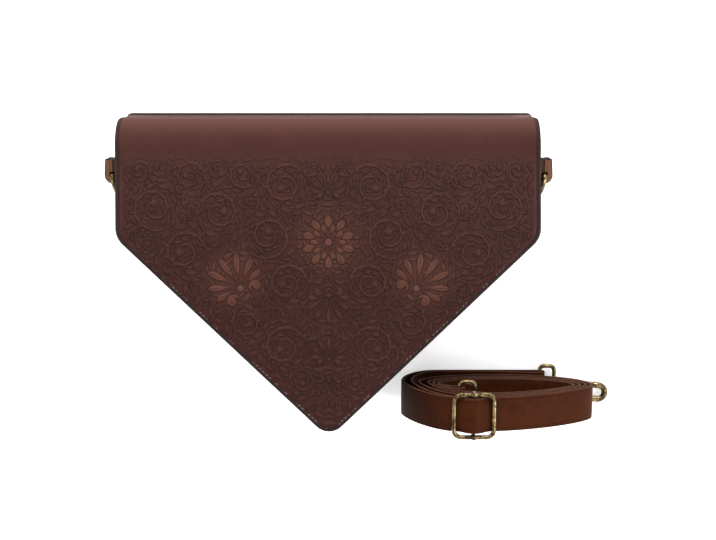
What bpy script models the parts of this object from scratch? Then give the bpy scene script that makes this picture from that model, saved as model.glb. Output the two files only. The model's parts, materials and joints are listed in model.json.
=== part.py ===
"""A leather crossbody bag with a pointed envelope flap, lying on its back.

Its adjustable strap is unclipped and rolled up, and the roll lies beside the point of the flap.
Metres, +Z up. The origin is the centre of the back panel's flat face, +X runs across the bag and
+Y towards the fold of the flap.
"""

import math
from collections import namedtuple

import bmesh
import bpy
from mathutils import Matrix, Vector

GAP = 0.0003

# Outline of the flap, seen from the front: straight sides, then two slanted edges to a point
FLAP_HALF_TOP = 0.1273
FLAP_HALF_SIDE = 0.1288
POINT_Y = -0.1017
SLANT = 0.98
SIDE_RADIUS = 0.014
POINT_RADIUS = 0.011
CREST_Y = 0.0960
RIDGE_Y = 0.0973

# Thicknesses of the leathers
BACK_WALL = 0.0022
FRONT_WALL = 0.0020
GUSSET_WALL = 0.0020
FLAP_WALL = 0.0026
TAB_WALL = 0.0030
STRAP_WALL = 0.0020

# Body: two panels with a band between them
BODY_HALF = 0.1278
SLANT_INSET = 0.0030
GUSSET_INSET = 0.0008
BODY_DEPTH = 0.0420
FRONT_TOP_Y = 0.0790
GUSSET_TOP_Y = 0.0840
BACK_CORNER = 0.0050
FRONT_CORNER = 0.0030

# Flap: its front leaf, the fold over the mouth and the flange sewn inside the back panel
SNAP_ROOM = 0.0022
FOLD_START_Y = 0.0770
FOLD_CENTRE_Z = 0.0220
FLANGE_TOP_Y = 0.0860
FLANGE_END_Y = 0.0720
FLANGE_HALF = 0.1225
NARROW_FROM_Z = 0.0340
NARROW_TO_Z = 0.0100
SNAP_RADIUS = 0.0070
SNAP_Y = -0.0450

# Side tabs and their rings
TAB_WIDTH = 0.0160
TAB_LOOP_Y = 0.0608
TAB_TOP_Y = 0.0706
TAB_HOLE_RADIUS = 0.0021
TAB_TOP_LEAN = 0.0008
TAB_FILLER_IN = 0.0002
RING_WIRE = 0.0017
RING_CORNER = 0.0024
RING_LEAN_DEG = 13.0

# Strap, rolled up on its side. Heights and places are those of the middle of its thickness
STRAP_WIDTH = 0.0215
STRAP_Y = -0.0803
LAYER = STRAP_WALL + GAP
TOP_LAYER_Z = 0.0645

# Slider: a bent wire frame with a bar fixed behind it
SLIDER_X = 0.0880
SLIDER_Y = -0.0808
SLIDER_HALF_X = 0.0121
SLIDER_HALF_Y = 0.0133
SLIDER_WIRE = 0.0014
SLIDER_CORNER = 0.0044
BAR_RADIUS = 0.0010
BAR_DROP = 0.0020
STUD_RADIUS = 0.0015

# Swivel hooks, each in a frame of its own: X from the eye to the nose, Y towards the gate
EYE_WIRE = 0.0014
EYE_DEPTH = 0.0096
EYE_HALF_LENGTH = 0.0141
EYE_CORNER = 0.0030
BOSS_RADIUS = 0.0030
BOSS_HALF = 0.0017
BOSS_HOLE = 0.0017
POST_RADIUS = 0.00115
SWIVEL_PLAY = 0.0006
HEAD_RADIUS = 0.0023
HEAD_LENGTH = 0.0015
BARREL_RADIUS = 0.0033
BARREL_LENGTH = 0.0085
YOKE_LENGTH = 0.0050
YOKE_HALF = 0.0064
YOKE_HALF_Z = 0.0028
ARM_OFFSET = 0.00465
ARM_WIRE = 0.0021
NOSE_X = 0.0289
TIP_X = 0.0252
PIVOT_X = 0.0130
PIN_RADIUS = 0.0008
GATE_HALF_Z = 0.0013
GATE_HUB = 0.0020
GATE_HALF = 0.0015
SWING_ROOM = 0.0011

OUTER_EYE_X = 0.1362
OUTER_EYE_Z = 0.0037
OUTER_HOOK_TURN_DEG = -7.0
INNER_EYE_X = 0.0810
INNER_EYE_Z = 0.0428


def material(name, colour, roughness, metallic=0.0):
    made = bpy.data.materials.new(name)
    made.use_nodes = True
    shader = made.node_tree.nodes["Principled BSDF"]
    shader.inputs["Base Color"].default_value = (*colour, 1.0)
    shader.inputs["Roughness"].default_value = roughness
    shader.inputs["Metallic"].default_value = metallic
    return made


def add_object(name, mesh, finish):
    obj = bpy.data.objects.new(name, mesh)
    mesh.materials.append(finish)
    bpy.context.scene.collection.objects.link(obj)
    return obj


def mesh_of(name, bm):
    mesh = bpy.data.meshes.new(name)
    bm.to_mesh(mesh)
    bm.free()
    return mesh


def shade_round(obj, degrees=35.0):
    obj.data.shade_smooth()
    obj.data.set_sharp_from_angle(angle=math.radians(degrees))
    return obj


def arc(centre, radius, start, end, steps):
    """Points of a flat arc, both ends included, with its angles in degrees."""
    turns = [math.radians(start + (end - start) * i / steps) for i in range(steps + 1)]
    return [(centre[0] + radius * math.cos(a), centre[1] + radius * math.sin(a)) for a in turns]


def rounded(corners, steps=5):
    """A closed outline through (x, y, radius) corners, each rounded by an arc of its radius."""
    points = []
    for i, (x, y, radius) in enumerate(corners):
        here = Vector((x, y))
        if radius == 0:
            points.append((x, y))
            continue
        before = (Vector(corners[i - 1][:2]) - here).normalized()
        after = (Vector(corners[(i + 1) % len(corners)][:2]) - here).normalized()
        half = before.angle(after) / 2
        centre = here + (before + after).normalized() * radius / math.sin(half)
        first = (here + before * radius / math.tan(half) - centre).normalized()
        last = (here + after * radius / math.tan(half) - centre).normalized()
        points += [tuple(centre + radius * first.slerp(last, j / steps)) for j in range(steps + 1)]
    return points


def smooth(low, high, at):
    """0 below low and 1 above high, with a smooth rise between them."""
    t = min(max((at - low) / (high - low), 0.0), 1.0)
    return t * t * (3 - 2 * t)


def plate(name, outline, low, high, finish):
    """A flat plate: its outline as one face, extruded from low to high."""
    bm = bmesh.new()
    face = bm.faces.new([bm.verts.new((x, y, low)) for x, y in outline])
    top = bmesh.ops.extrude_face_region(bm, geom=[face])["geom"]
    moved = [v for v in top if isinstance(v, bmesh.types.BMVert)]
    bmesh.ops.translate(bm, verts=moved, vec=(0, 0, high - low))
    bmesh.ops.recalc_face_normals(bm, faces=bm.faces)
    return add_object(name, mesh_of(name, bm), finish)


def strip(name, rails, wall, finish):
    """Leather of even thickness: an edge extruded along pairs of rail points, with a Solidify."""
    bm = bmesh.new()
    ends = [bm.verts.new(point) for point in rails[0]]
    edge = bm.edges.new(ends)
    for pair in rails[1:]:
        grown = bmesh.ops.extrude_edge_only(bm, edges=[edge])["geom"]
        fresh = [v for v in grown if isinstance(v, bmesh.types.BMVert)]
        ends = [next(v for v in fresh if any(e.other_vert(v) is old for e in v.link_edges))
                for old in ends]
        for vert, place in zip(ends, pair):
            vert.co = place
        edge = bm.edges.get(ends)
    obj = add_object(name, mesh_of(name, bm), finish)
    solidify = obj.modifiers.new("Wall", "SOLIDIFY")
    solidify.thickness = wall
    solidify.offset = 0.0
    solidify.use_even_offset = True
    return shade_round(obj)


def evaluated_mesh(obj):
    """The object's mesh with its modifiers and its bevel applied. The object itself is removed."""
    bpy.context.view_layer.update()
    graph = bpy.context.evaluated_depsgraph_get()
    mesh = bpy.data.meshes.new_from_object(obj.evaluated_get(graph))
    mesh.transform(obj.matrix_world)
    bpy.data.objects.remove(obj, do_unlink=True)
    return mesh


def wire(name, points, radius, finish, closed=True):
    """Round wire of eight sides along the points, as a mesh."""
    curve = bpy.data.curves.new(name, "CURVE")
    curve.dimensions = "3D"
    curve.bevel_depth = radius
    curve.bevel_resolution = 2
    curve.use_fill_caps = True
    spline = curve.splines.new("POLY")
    spline.points.add(len(points) - 1)
    for point, place in zip(spline.points, points):
        point.co = (*place, 1.0)
    spline.use_cyclic_u = closed
    guide = bpy.data.objects.new(name, curve)
    bpy.context.scene.collection.objects.link(guide)
    obj = add_object(name, evaluated_mesh(guide), finish)
    bm = bmesh.new()
    bm.from_mesh(obj.data)
    bmesh.ops.remove_doubles(bm, verts=bm.verts, dist=1e-6)
    bmesh.ops.recalc_face_normals(bm, faces=bm.faces)
    bm.to_mesh(obj.data)
    bm.free()
    return obj


def rod(name, start, end, radius, finish, sides=16):
    """A cylinder between two points."""
    start, end = Vector(start), Vector(end)
    bm = bmesh.new()
    bmesh.ops.create_cone(bm, cap_ends=True, segments=sides, radius1=radius, radius2=radius,
                          depth=(end - start).length)
    turn = Vector((0, 0, 1)).rotation_difference(end - start).to_matrix().to_4x4()
    bmesh.ops.transform(bm, verts=bm.verts, matrix=Matrix.Translation((start + end) / 2) @ turn)
    return add_object(name, mesh_of(name, bm), finish)


def block(name, low, high, finish):
    """A box between two corners."""
    low, high = Vector(low), Vector(high)
    bm = bmesh.new()
    bmesh.ops.create_cube(bm, size=1.0)
    bmesh.ops.scale(bm, verts=bm.verts, vec=high - low)
    bmesh.ops.translate(bm, verts=bm.verts, vec=(low + high) / 2)
    return add_object(name, mesh_of(name, bm), finish)


def combine(obj, others, operation):
    """Joins the others to the object or cuts them from it, and keeps the object's name."""
    name = obj.name
    finish = obj.data.materials[0]
    for other in others:
        boolean = obj.modifiers.new(operation.title(), "BOOLEAN")
        boolean.operation = operation
        boolean.solver = "EXACT"
        boolean.object = other
    mesh = evaluated_mesh(obj)
    mesh.name = name
    for other in others:
        bpy.data.objects.remove(other, do_unlink=True)
    mesh.materials.clear()
    return add_object(name, mesh, finish)


for old in list(bpy.data.objects):
    bpy.data.objects.remove(old, do_unlink=True)

# One finish for each leather and metal of the bag
panel_leather = material("panel leather", (0.070, 0.030, 0.025), 0.55)
flap_leather = material("embossed leather", (0.062, 0.025, 0.022), 0.45)
gusset_leather = material("gusset leather", (0.080, 0.036, 0.028), 0.6)
tab_leather = material("tab leather", (0.115, 0.055, 0.038), 0.6)
strap_leather = material("strap leather", (0.088, 0.030, 0.016), 0.5)
brass = material("antique brass", (0.165, 0.120, 0.055), 0.35, 1.0)
magnet_metal = material("magnet metal", (0.45, 0.42, 0.36), 0.4, 1.0)


def pentagon(half_top, half_side, inset, top_y, top_radius, side_radius, point_radius):
    """The outline of a panel, from its top right corner clockwise, with its slants moved in."""
    point_y = POINT_Y + inset * math.hypot(1.0, SLANT)
    side_y = point_y + SLANT * half_side
    return rounded([
        (half_top, top_y, top_radius),
        (half_side, side_y, side_radius),
        (0.0, point_y, point_radius),
        (-half_side, side_y, side_radius),
        (-half_top, top_y, top_radius),
    ])


# Body. The back panel's outer face is the flat face that the bag lies on
back_outline = pentagon(BODY_HALF, BODY_HALF, SLANT_INSET, RIDGE_Y, BACK_CORNER,
                        SIDE_RADIUS, POINT_RADIUS)
plate("back_panel", back_outline, 0.0, BACK_WALL, panel_leather)
front_outline = pentagon(BODY_HALF, BODY_HALF, SLANT_INSET, FRONT_TOP_Y, FRONT_CORNER,
                         SIDE_RADIUS, POINT_RADIUS)
plate("front_panel", front_outline, BODY_DEPTH - FRONT_WALL, BODY_DEPTH, panel_leather)

# Gusset: one band round the sides and the point, open at the mouth
band_inset = GUSSET_INSET + GUSSET_WALL / 2
band = pentagon(BODY_HALF - band_inset, BODY_HALF - band_inset, SLANT_INSET + band_inset,
                GUSSET_TOP_Y, 0.0, SIDE_RADIUS - band_inset, POINT_RADIUS - band_inset)
band_low = BACK_WALL + GAP
band_high = BODY_DEPTH - FRONT_WALL - GAP
strip("gusset", [((x, y, band_low), (x, y, band_high)) for x, y in band], GUSSET_WALL,
      gusset_leather)

# Flap, from the end of its flange over the fold to its point
FLAP_MID_Z = BODY_DEPTH + SNAP_ROOM + FLAP_WALL / 2
FLANGE_MID_Z = BACK_WALL + GAP + FLAP_WALL / 2
CREST_MID_Y = CREST_Y - FLAP_WALL / 2


def flap_half(z):
    """Half the width of the fold: the flap narrows towards the back, to pass inside the gusset."""
    return FLANGE_HALF + (FLAP_HALF_TOP - FLANGE_HALF) * smooth(NARROW_TO_Z, NARROW_FROM_Z, z)


# Sections of the fold: a slack bend up from the flange, and a round one over the mouth
REAR_STEPS = 7
FRONT_STEPS = 10
rear_turns = [math.pi / 2 * (i / REAR_STEPS - 1) for i in range(REAR_STEPS + 1)]
rear = [(FLANGE_TOP_Y + (CREST_MID_Y - FLANGE_TOP_Y) * math.cos(a),
         FOLD_CENTRE_Z + (FOLD_CENTRE_Z - FLANGE_MID_Z) * math.sin(a)) for a in rear_turns]
fold_radius = CREST_MID_Y - FOLD_START_Y
front = arc((FOLD_START_Y, FLAP_MID_Z - fold_radius), fold_radius, 0.0, 90.0, FRONT_STEPS)
flap_rails = [(-FLANGE_HALF, FLANGE_END_Y, FLANGE_MID_Z)]
flap_rails += [(-flap_half(z), y, z) for y, z in rear + front]
leaf = pentagon(FLAP_HALF_TOP, FLAP_HALF_SIDE, 0.0, FOLD_START_Y, 0.0, SIDE_RADIUS, POINT_RADIUS)
flap_rails += [(-x, y, FLAP_MID_Z) for x, y in leaf if x > 0 and y < FOLD_START_Y]
strip("flap", [((x, y, z), (-x, y, z)) for x, y, z in flap_rails], FLAP_WALL, flap_leather)

# Magnetic fastener, hidden between the front panel and the flap
snap_low = BODY_DEPTH + GAP
snap_high = BODY_DEPTH + SNAP_ROOM - GAP
shade_round(rod("magnet_snap", (0, SNAP_Y, snap_low), (0, SNAP_Y, snap_high), SNAP_RADIUS,
                magnet_metal, sides=24))

# Side tabs, folded round the straight bar of each D-ring and closed over a filler ply, with the
# ring leaning on the gusset
MID_Z = BODY_DEPTH / 2
GUSSET_FACE = BODY_HALF - GUSSET_INSET
TAB_LEG_X = GUSSET_FACE + GAP + TAB_WALL / 2
TAB_LOOP_RADIUS = TAB_HOLE_RADIUS + TAB_WALL / 2
TAB_LOOP_X = TAB_LEG_X + TAB_LOOP_RADIUS
RING_Y = TAB_LOOP_Y - (TAB_HOLE_RADIUS - RING_WIRE - GAP)
RING_HALF = TAB_WIDTH / 2 + 2 * GAP + RING_WIRE


def d_outline():
    """The D of the ring's wire as (across, out) points, its straight bar on out = 0."""
    low, side = RING_HALF - RING_CORNER, RING_CORNER
    bend = arc((low, side), RING_CORNER, -90.0, 0.0, 4)
    bow = arc((0.0, side), RING_HALF, 0.0, 180.0, 14)
    return bend + bow[1:-1] + [(-x, y) for x, y in reversed(bend)]


for side, label in ((-1, "left"), (1, "right")):
    path = [(TAB_LEG_X, TAB_TOP_Y), (TAB_LEG_X, TAB_LOOP_Y)]
    path += arc((TAB_LOOP_X, TAB_LOOP_Y), TAB_LOOP_RADIUS, 180.0, 360.0, 10)[1:]
    outer_top_x = TAB_LEG_X + 2 * TAB_LOOP_RADIUS - TAB_TOP_LEAN
    path += [(outer_top_x, TAB_TOP_Y)]
    edges = (MID_Z - TAB_WIDTH / 2, MID_Z + TAB_WIDTH / 2)
    loop = strip("tab_" + label, [tuple((side * x, y, z) for z in edges) for x, y in path],
                 TAB_WALL, tab_leather)
    across = sorted((side * TAB_LEG_X, side * outer_top_x))
    filler = block("filler", (across[0], TAB_LOOP_Y + TAB_HOLE_RADIUS, edges[0] + TAB_FILLER_IN),
                   (across[1], TAB_TOP_Y - TAB_FILLER_IN, edges[1] - TAB_FILLER_IN), tab_leather)
    shade_round(combine(loop, [filler], "UNION"))
    ring = wire("d_ring_" + label, [(0.0, -out, across) for across, out in d_outline()],
                RING_WIRE, brass)
    ring.location = (side * TAB_LOOP_X, RING_Y, MID_Z)
    ring.rotation_euler = (0.0, 0.0, -side * math.radians(RING_LEAN_DEG))
    shade_round(ring)


# Strap. One long piece: it is sewn round the slider's bar, runs to the outer eye, folds round it,
# comes back through the slider and goes on round the roll to the inner eye, where it is sewn
Pass = namedtuple("Pass", "left_x left_z top_from_x top_left_z top_right_z top_to_x right_x right_z "
                          "bottom_x bottom_z")
PASSES = (
    Pass(0.0462, 0.0270, 0.0765, 0.0645, 0.0645, 0.0995, 0.1642, 0.0360, 0.104, 0.0118),
    Pass(0.0564, 0.0285, 0.080, 0.0573, 0.0614, 0.100, 0.1610, 0.0355, 0.104, 0.0161),
    Pass(0.0622, 0.0300, 0.082, 0.0546, 0.0586, 0.100, 0.1572, 0.0358, 0.104, 0.0190),
    Pass(0.0652, 0.0315, 0.086, 0.0519, 0.0554, 0.100, 0.1532, 0.0360, 0.104, 0.0221),
)
SLACK = 1.5
FLOOR_Z = STRAP_WALL / 2
DOUBLED_LEFT_X = 0.0520
DOUBLED_BOTTOM_X = 0.0700
DOUBLED_BOTTOM_Z = FLOOR_Z + LAYER + GAP
TOP_BEND_X = (0.086, 0.100)
EYE_BEND_X = (0.100, 0.132)
SEWN_BEND_X = (0.077, 0.088)
SEWN_OUTER_X = 0.0765
INNER_TURN_X = 0.0684
INNER_TURN_Z = 0.0330
STEP = 0.0035
HUMP_STEP = 0.0016

SLIDER_Z = TOP_LAYER_Z + STRAP_WALL / 2 + GAP + SLIDER_WIRE
BAR_Z = SLIDER_Z - BAR_DROP
BAR_LOOP = BAR_RADIUS + GAP + STRAP_WALL / 2
EYE_LOOP = EYE_WIRE + GAP + STRAP_WALL / 2
HUMP = BAR_Z + BAR_LOOP + LAYER - TOP_LAYER_Z
HUMP_HALF = SLIDER_HALF_X - 0.0008


def spaced(start, end, step=STEP):
    """Places from start towards end, about a step apart, the end left out."""
    count = max(1, round(abs(end - start) / step))
    return [start + (end - start) * i / count for i in range(count)]


def quarter(start, end, level_first, power=2.0):
    """A quarter turn, level at one end and upright at the other, without its end.

    With a power of 2 it is an ellipse's, and below that a slacker one, with a straighter middle.
    """
    reach = math.hypot(end[0] - start[0], end[1] - start[1])
    count = max(6, round(1.1 * reach / STEP))
    points = []
    for i in range(count):
        angle = math.pi / 2 * i / count
        rise, run = math.sin(angle) ** (2 / power), 1 - math.cos(angle) ** (2 / power)
        across, up = (rise, run) if level_first else (run, rise)
        points.append((start[0] + (end[0] - start[0]) * across, start[1] + (end[1] - start[1]) * up))
    return points


def over_slider(x):
    """Height of the outer layer: it dips under the frame's sides and rides over its bar."""
    t = (x - SLIDER_X) / HUMP_HALF
    return TOP_LAYER_Z + (HUMP * (1 + math.cos(math.pi * t)) / 2 if abs(t) < 1 else 0.0)


def under_outer_layer(x):
    """The point a LAYER below the outer layer at x, measured square to it."""
    slope = (over_slider(x + 1e-5) - over_slider(x - 1e-5)) / 2e-5
    square = math.hypot(1.0, slope)
    return x + LAYER * slope / square, over_slider(x) - LAYER / square


def doubled_part():
    """From the sewn end at the slider's bar to the outer eye and back to the slider."""
    low = TOP_LAYER_Z - 2 * LAYER - GAP
    path = [(x, low + (BAR_Z - BAR_LOOP - low) * smooth(*SEWN_BEND_X, x))
            for x in spaced(SEWN_OUTER_X, SLIDER_X)]
    path += arc((SLIDER_X, BAR_Z), BAR_LOOP, -90.0, 90.0, 8)
    top_x = PASSES[0].top_from_x
    path += [under_outer_layer(x) for x in spaced(SLIDER_X, top_x, HUMP_STEP)[1:]]
    left = (DOUBLED_LEFT_X, PASSES[0].left_z)
    bottom = (DOUBLED_BOTTOM_X, DOUBLED_BOTTOM_Z)
    path += quarter((top_x, TOP_LAYER_Z - LAYER), left, True, SLACK)
    path += quarter(left, bottom, False)
    eye_top = OUTER_EYE_Z + EYE_LOOP
    path += [(x, DOUBLED_BOTTOM_Z + (eye_top - DOUBLED_BOTTOM_Z) * smooth(*EYE_BEND_X, x))
             for x in spaced(DOUBLED_BOTTOM_X, OUTER_EYE_X)]
    path += arc((OUTER_EYE_X, OUTER_EYE_Z), EYE_LOOP, 90.0, -90.0, 8)[:-1]
    path += [(x, FLOOR_Z) for x in spaced(OUTER_EYE_X, DOUBLED_BOTTOM_X)]
    path += quarter((DOUBLED_BOTTOM_X, FLOOR_Z), (PASSES[0].left_x, PASSES[0].left_z), True)
    return path


def rolled_part():
    """Round the roll, inwards, to the bottom of its last turn."""
    path = []
    for row, after in zip(PASSES, PASSES[1:] + (None,)):
        start, end = (row.top_from_x, row.top_left_z), (row.top_to_x, row.top_right_z)
        path += quarter((row.left_x, row.left_z), start, False, SLACK)
        if row is PASSES[0]:
            path += [(x, over_slider(x)) for x in spaced(start[0], end[0], HUMP_STEP)]
        else:
            path += [(x, start[1] + (end[1] - start[1]) * smooth(*TOP_BEND_X, x))
                     for x in spaced(start[0], end[0])]
        bottom = (row.bottom_x, row.bottom_z)
        path += quarter(end, (row.right_x, row.right_z), True, SLACK)
        path += quarter((row.right_x, row.right_z), bottom, False)
        if after:
            path += quarter(bottom, (after.left_x, after.left_z), True)
    return path


def ply_inside(turn, wide, narrow):
    """A second ply on the right of the turn, from its end back: first wide of it, then narrow."""
    last = len(turn) - 1
    ply = []
    for i in range(last - 1, 0, -1):
        run = turn[i + 1][0] - turn[i - 1][0]
        rise = turn[i + 1][1] - turn[i - 1][1]
        away = (narrow + (wide - narrow) * smooth(0.4 * last, last, i)) / math.hypot(run, rise)
        ply.append((turn[i][0] + away * rise, turn[i][1] - away * run))
    return ply


def sewn_end():
    """Up the last turn to the inner eye, round its bar, and back down inside that turn."""
    row = PASSES[-1]
    start = (INNER_TURN_X, INNER_TURN_Z)
    turn = quarter(start, (INNER_EYE_X, INNER_EYE_Z + EYE_LOOP), False, SLACK)
    path = quarter((row.bottom_x, row.bottom_z), start, True) + turn
    path += arc((INNER_EYE_X, INNER_EYE_Z), EYE_LOOP, 90.0, -90.0, 8)
    return path + ply_inside(turn, 2 * EYE_LOOP, LAYER)


strap_path = doubled_part() + rolled_part() + sewn_end()
across = (STRAP_Y - STRAP_WIDTH / 2, STRAP_Y + STRAP_WIDTH / 2)
strip("strap", [tuple((x, y, z) for y in across) for x, z in strap_path], STRAP_WALL,
      strap_leather)

# Slider. Two studs hold its bar behind the frame
frame_outline = rounded([
    (SLIDER_HALF_X, SLIDER_HALF_Y, SLIDER_CORNER),
    (SLIDER_HALF_X, -SLIDER_HALF_Y, SLIDER_CORNER),
    (-SLIDER_HALF_X, -SLIDER_HALF_Y, SLIDER_CORNER),
    (-SLIDER_HALF_X, SLIDER_HALF_Y, SLIDER_CORNER),
], steps=4)
slider = wire("slider", [(SLIDER_X + x, SLIDER_Y + y, SLIDER_Z) for x, y in frame_outline],
              SLIDER_WIRE, brass)
bar_ends = [SLIDER_Y + side * SLIDER_HALF_Y for side in (-1, 1)]
bar_parts = [rod("bar", *[(SLIDER_X, y, BAR_Z) for y in bar_ends], BAR_RADIUS, brass, sides=12)]
bar_parts += [rod("stud", (SLIDER_X, y, BAR_Z - STUD_RADIUS),
                  (SLIDER_X, y, SLIDER_Z + STUD_RADIUS), STUD_RADIUS, brass, sides=12)
              for y in bar_ends]
shade_round(combine(slider, bar_parts, "UNION"))


def eye(name):
    """The long link that the strap goes round, with the boss that the hook turns in."""
    half_x = EYE_DEPTH / 2
    outline = rounded([
        (half_x, EYE_HALF_LENGTH, EYE_CORNER),
        (half_x, -EYE_HALF_LENGTH, EYE_CORNER),
        (-half_x, -EYE_HALF_LENGTH, EYE_CORNER),
        (-half_x, EYE_HALF_LENGTH, EYE_CORNER),
    ], steps=4)
    link = wire(name, [(x - half_x, y, 0.0) for x, y in outline], EYE_WIRE, brass)
    boss = rod("boss", (-BOSS_HALF, 0, 0), (BOSS_HALF, 0, 0), BOSS_RADIUS, brass)
    hole = rod("hole", (-2 * BOSS_HALF, 0, 0), (2 * BOSS_HALF, 0, 0), BOSS_HOLE, brass)
    link = combine(link, [boss], "UNION")
    return shade_round(combine(link, [hole], "DIFFERENCE"))


def hook(name):
    """Swivel post, barrel, yoke and the bent arm that runs round the nose to its tip, in one."""
    arm = [(PIVOT_X - GATE_HUB, -ARM_OFFSET, 0.0)]
    arm += [(x, y, 0.0) for x, y in arc((NOSE_X, 0.0), ARM_OFFSET, -90.0, 90.0, 12)]
    arm += [(TIP_X, ARM_OFFSET, 0.0)]
    bent = wire(name, arm, ARM_WIRE, brass, closed=False)
    barrel_start = BOSS_HALF + SWIVEL_PLAY
    barrel_end = barrel_start + BARREL_LENGTH
    head_end = -BOSS_HALF - SWIVEL_PLAY
    parts = [
        rod("head", (head_end - HEAD_LENGTH, 0, 0), (head_end, 0, 0), HEAD_RADIUS, brass),
        rod("post", (head_end - HEAD_LENGTH / 2, 0, 0), (barrel_start + POST_RADIUS, 0, 0),
            POST_RADIUS, brass, sides=12),
        rod("barrel", (barrel_start, 0, 0), (barrel_end, 0, 0), BARREL_RADIUS, brass),
        block("yoke", (barrel_end - POST_RADIUS, -YOKE_HALF, -YOKE_HALF_Z),
              (barrel_end + YOKE_LENGTH, YOKE_HALF, YOKE_HALF_Z), brass),
    ]
    whole = combine(bent, parts, "UNION")
    slot = block("slot", (PIVOT_X - GATE_HUB - GAP, ARM_OFFSET - GATE_HUB - SWING_ROOM,
                          -GATE_HALF_Z - GAP),
                 (barrel_end + 2 * YOKE_LENGTH, 2 * YOKE_HALF, GATE_HALF_Z + GAP), brass)
    whole = combine(whole, [slot], "DIFFERENCE")
    pin = rod("pin", (PIVOT_X, ARM_OFFSET, -YOKE_HALF_Z + GAP),
              (PIVOT_X, ARM_OFFSET, YOKE_HALF_Z - GAP), PIN_RADIUS, brass, sides=12)
    return shade_round(combine(whole, [pin], "UNION"))


def gate(name):
    """The sprung lever that closes the nose. Its origin is on its pin."""
    hub = rod(name, (0, 0, -GATE_HALF_Z), (0, 0, GATE_HALF_Z), GATE_HUB, brass)
    lever = block("lever", (0, -GATE_HALF, -GATE_HALF_Z),
                  (TIP_X - GAP - PIVOT_X, GATE_HALF, GATE_HALF_Z), brass)
    hole = rod("hole", (0, 0, -2 * GATE_HALF_Z), (0, 0, 2 * GATE_HALF_Z), PIN_RADIUS + GAP, brass,
               sides=12)
    whole = combine(hub, [lever], "UNION")
    return shade_round(combine(whole, [hole], "DIFFERENCE"))


def place(obj, origin, x_axis, y_axis):
    """Puts the object's own frame at the origin, with its X and Y along the axes."""
    x_axis, y_axis = Vector(x_axis), Vector(y_axis)
    turn = Matrix((x_axis, y_axis, x_axis.cross(y_axis))).transposed().to_4x4()
    obj.matrix_world = Matrix.Translation(origin) @ turn


def swivel_hook(label, origin, eye_axes, hook_axes):
    """An eye, the hook that turns in it and the hook's gate, with the boss at the origin."""
    place(eye("eye_" + label), origin, *eye_axes)
    body = hook("hook_" + label)
    place(body, origin, *hook_axes)
    lever = gate("gate_" + label)
    lever.parent = body
    lever.location = (PIVOT_X, ARM_OFFSET, 0.0)


# The outer hook lies on the floor under the end of the roll, nose outwards
turned = math.radians(OUTER_HOOK_TURN_DEG)
swivel_hook("outer", (OUTER_EYE_X + EYE_DEPTH, STRAP_Y, OUTER_EYE_Z), ((1, 0, 0), (0, 1, 0)),
            ((math.cos(turned), math.sin(turned), 0), (-math.sin(turned), math.cos(turned), 0)))

# The inner hook hangs inside the roll, its heavy arm down
swivel_hook("inner", (INNER_EYE_X + EYE_DEPTH, STRAP_Y, INNER_EYE_Z), ((1, 0, 0), (0, 1, 0)),
            ((1, 0, 0), (0, 0, 1)))
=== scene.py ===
"""A small envelope bag of tooled brown leather, lying on its back beside its rolled-up strap."""

import json
import math
from collections import namedtuple

import bmesh
import bpy
import numpy as np
from mathutils import Matrix, Vector


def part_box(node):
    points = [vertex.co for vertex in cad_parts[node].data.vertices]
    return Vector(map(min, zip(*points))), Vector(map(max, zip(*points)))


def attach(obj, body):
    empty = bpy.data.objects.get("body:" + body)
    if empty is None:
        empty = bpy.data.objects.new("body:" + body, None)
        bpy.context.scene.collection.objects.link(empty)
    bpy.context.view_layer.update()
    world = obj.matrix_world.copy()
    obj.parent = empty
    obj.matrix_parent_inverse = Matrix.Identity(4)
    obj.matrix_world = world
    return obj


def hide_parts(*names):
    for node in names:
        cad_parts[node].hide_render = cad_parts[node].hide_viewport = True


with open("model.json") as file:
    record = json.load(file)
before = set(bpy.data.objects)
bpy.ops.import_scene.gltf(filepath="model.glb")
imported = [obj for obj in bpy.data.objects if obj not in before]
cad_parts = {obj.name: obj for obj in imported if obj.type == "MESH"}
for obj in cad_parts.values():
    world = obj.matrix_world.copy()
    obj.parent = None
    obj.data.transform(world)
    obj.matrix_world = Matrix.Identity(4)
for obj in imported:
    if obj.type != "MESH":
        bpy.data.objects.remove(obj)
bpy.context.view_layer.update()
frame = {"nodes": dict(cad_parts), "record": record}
nodes = frame["nodes"]

# Table top and studio. A white light table, a wide soft light beyond the fold, weaker soft lights
# at the sides and below the point, and a camera looking down at the flap from beyond the fold.
TARGET = Vector((0.018, 0.0049, 0.046))
CAMERA_DISTANCE = 0.750
CAMERA_TILT = math.radians(10.2)
LENS_MM = 62.07
TABLE_SIZE = 4.0
TABLE_DROP = 0.0001
TABLE_GLOW = 0.45
ROOM_LIGHT = 0.43

scene = bpy.context.scene
scene.view_settings.view_transform = "Standard"

camera = bpy.data.objects.new("camera", bpy.data.cameras.new("camera"))
camera.data.lens = LENS_MM
camera.data.sensor_width = 36.0
camera.data.clip_start = 0.01
camera.rotation_euler = (-CAMERA_TILT, 0.0, 0.0)
camera.location = TARGET + CAMERA_DISTANCE * Vector(
    (0.0, math.sin(CAMERA_TILT), math.cos(CAMERA_TILT)))
scene.collection.objects.link(camera)
scene.camera = camera

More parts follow.
